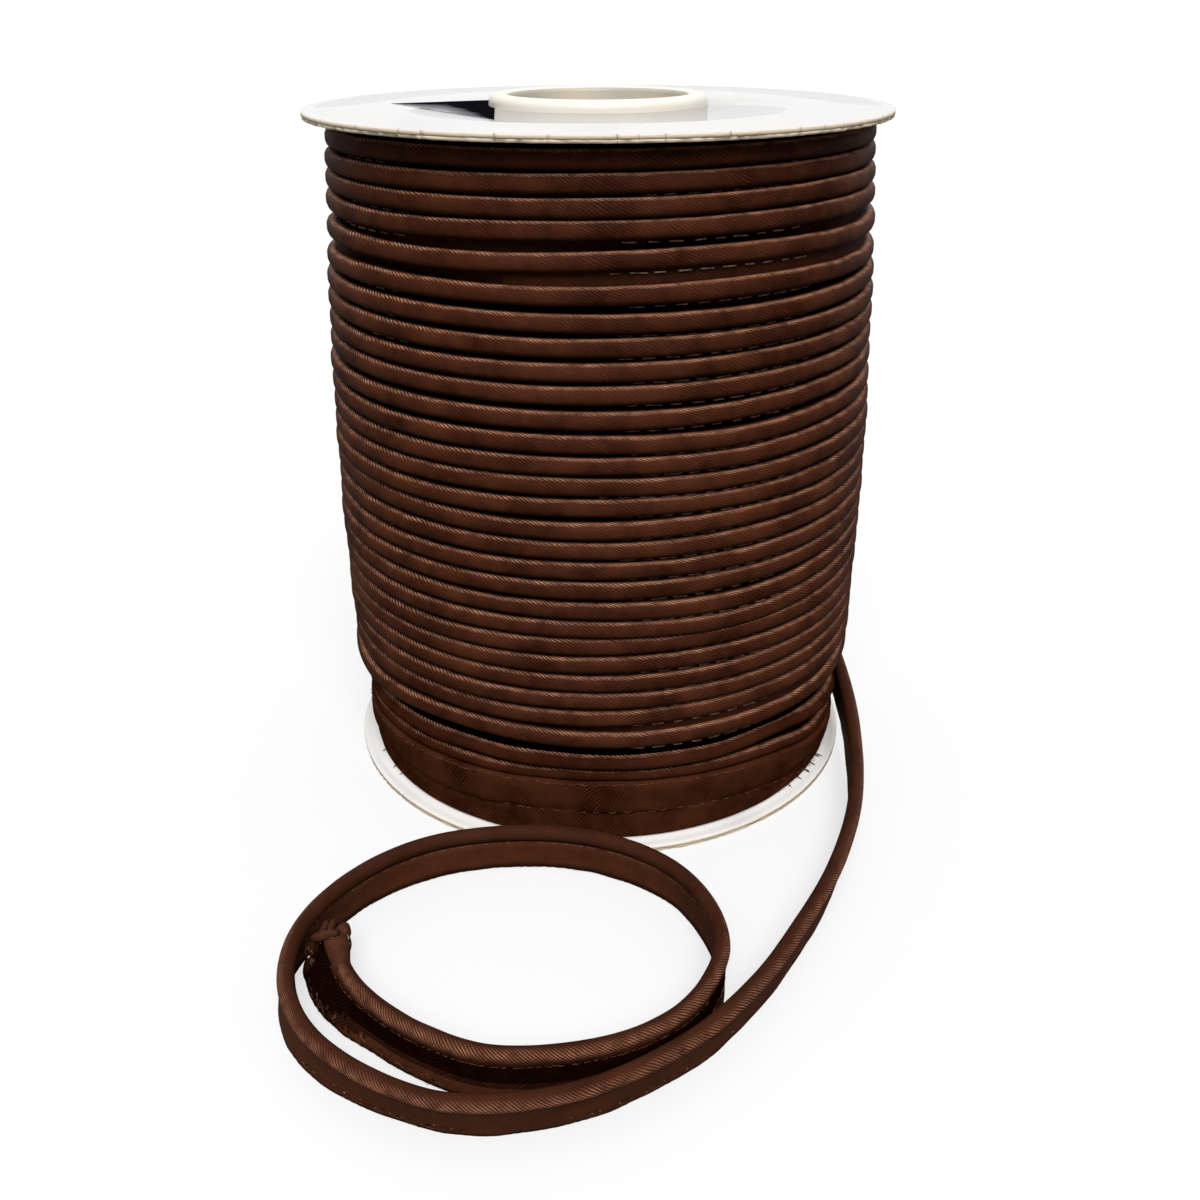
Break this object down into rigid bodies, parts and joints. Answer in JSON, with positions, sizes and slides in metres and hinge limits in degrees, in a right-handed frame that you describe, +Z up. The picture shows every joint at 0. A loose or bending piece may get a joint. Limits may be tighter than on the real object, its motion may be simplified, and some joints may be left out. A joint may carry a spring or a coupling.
{
  "type": "roll of piping trim on a card spool",
  "caption": "Roll of satin piping trim wound on a white card spool that stands on its flange, with the loose end laid in a loop in front.",
  "frame": {"origin": "on the spool's axis, in the plane of the bottom flange's underside", "axes": "+Z up along the spool's axis, -Y towards the side where the loose end lies, +X to the side where it leaves the roll"},
  "size_m": [0.1265, 0.2034, 0.1539],
  "materials": {
    "spool_card": "glossy white coating over grey-beige card, with a bare cut edge",
    "core_card": "off-white, semi-matte",
    "satin_piping": "dark brown polyester satin, fine diagonal weave, soft sheen"
  },
  "bodies": {
    "root": {"flange_bottom": "spool_card", "flange_top": "spool_card", "core_tube": "core_card", "winding": "satin_piping", "loose_end": "satin_piping", "tied_end": "satin_piping"}
  },
  "joints": []
}
